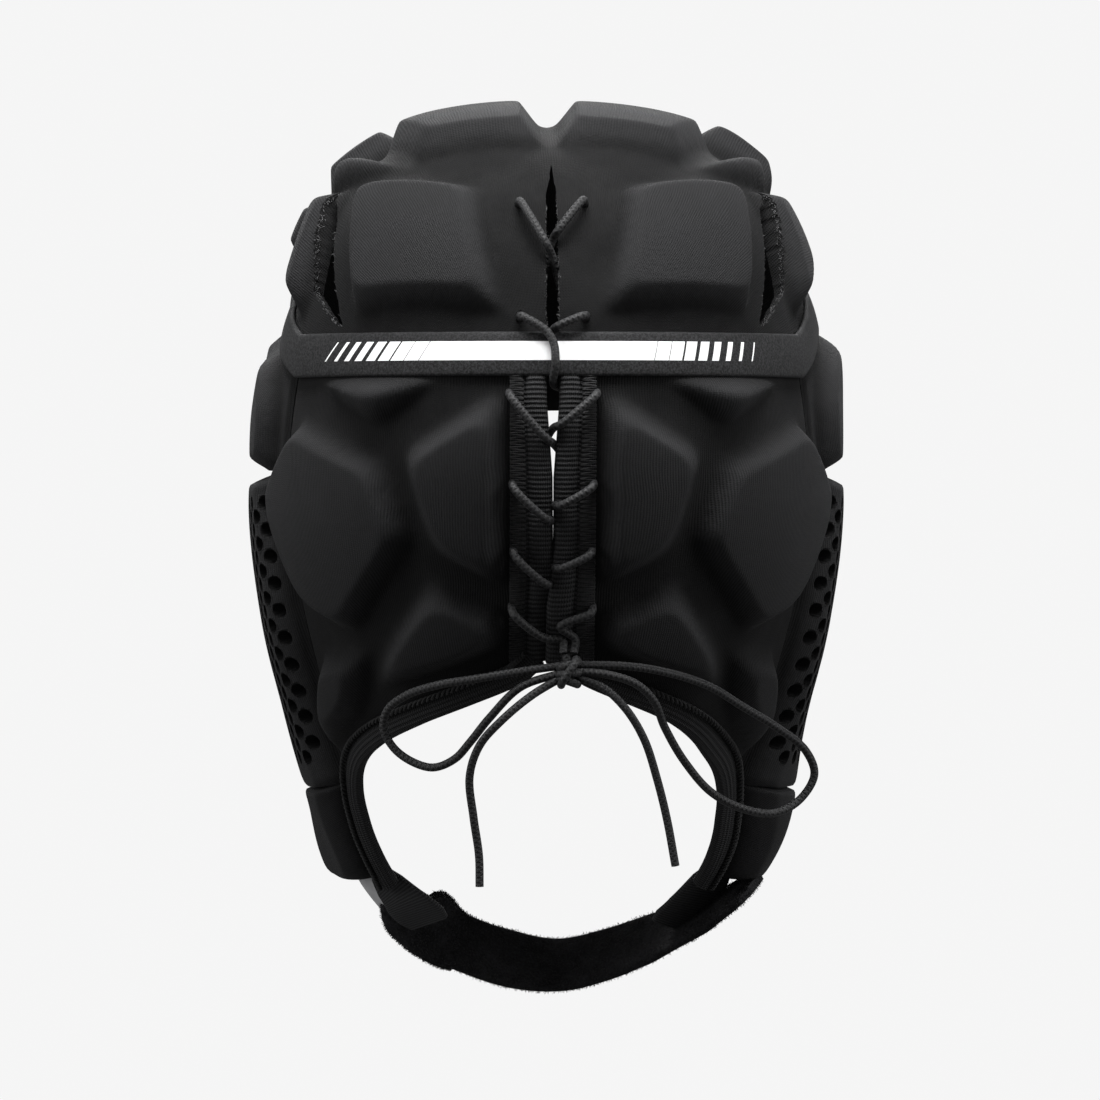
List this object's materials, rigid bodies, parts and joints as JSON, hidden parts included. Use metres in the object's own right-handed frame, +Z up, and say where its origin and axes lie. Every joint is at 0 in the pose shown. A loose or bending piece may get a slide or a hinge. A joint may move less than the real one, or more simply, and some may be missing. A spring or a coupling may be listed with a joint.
{
  "type": "rugby scrum cap",
  "caption": "Padded rugby scrum cap with raised foam pads, pierced ear guards, a laced back closed by a bow, and a chin strap of loop pile.",
  "frame": {"origin": "inside of the crown, where the top of the wearer's head touches it", "axes": "+Z up, +Y the way the wearer faces, +X to the wearer's right"},
  "size_m": [0.1752, 0.2149, 0.2626],
  "materials": {
    "padded_knit": "matt black ribbed warp knit over foam",
    "pierced_knit": "matt black knit with round vent holes",
    "printed_band": "smooth black knit with a white printed stripe",
    "ribbed_tape": "ribbed black tape",
    "binding": "matt black stitched binding",
    "elastic_lace": "braided black elastic",
    "webbing": "woven black webbing",
    "loop_pile": "fuzzy black loop pile",
    "keeper_ring": "glossy grey"
  },
  "bodies": {
    "root": {"crown": "padded_knit", "back_panel_right": "padded_knit", "back_panel_left": "padded_knit", "side_panel_right": "padded_knit", "side_panel_left": "padded_knit", "ear_panel_right": "pierced_knit", "ear_panel_left": "pierced_knit", "cheek_panel_right": "padded_knit", "cheek_panel_left": "padded_knit", "stripe_band_right": "printed_band", "stripe_band_left": "printed_band", "lace_facing_right": "ribbed_tape", "lace_facing_left": "ribbed_tape", "neck_binding_right": "binding", "neck_binding_left": "binding", "lace_right": "elastic_lace", "lace_left": "elastic_lace", "bow_knot": "elastic_lace", "bow_loop_right": "elastic_lace", "bow_loop_left": "elastic_lace", "lace_end_right": "elastic_lace", "lace_end_left": "elastic_lace", "strap_tab_right": "webbing", "strap_tab_left": "webbing", "chin_strap": "loop_pile", "strap_keeper": "keeper_ring"}
  },
  "joints": []
}
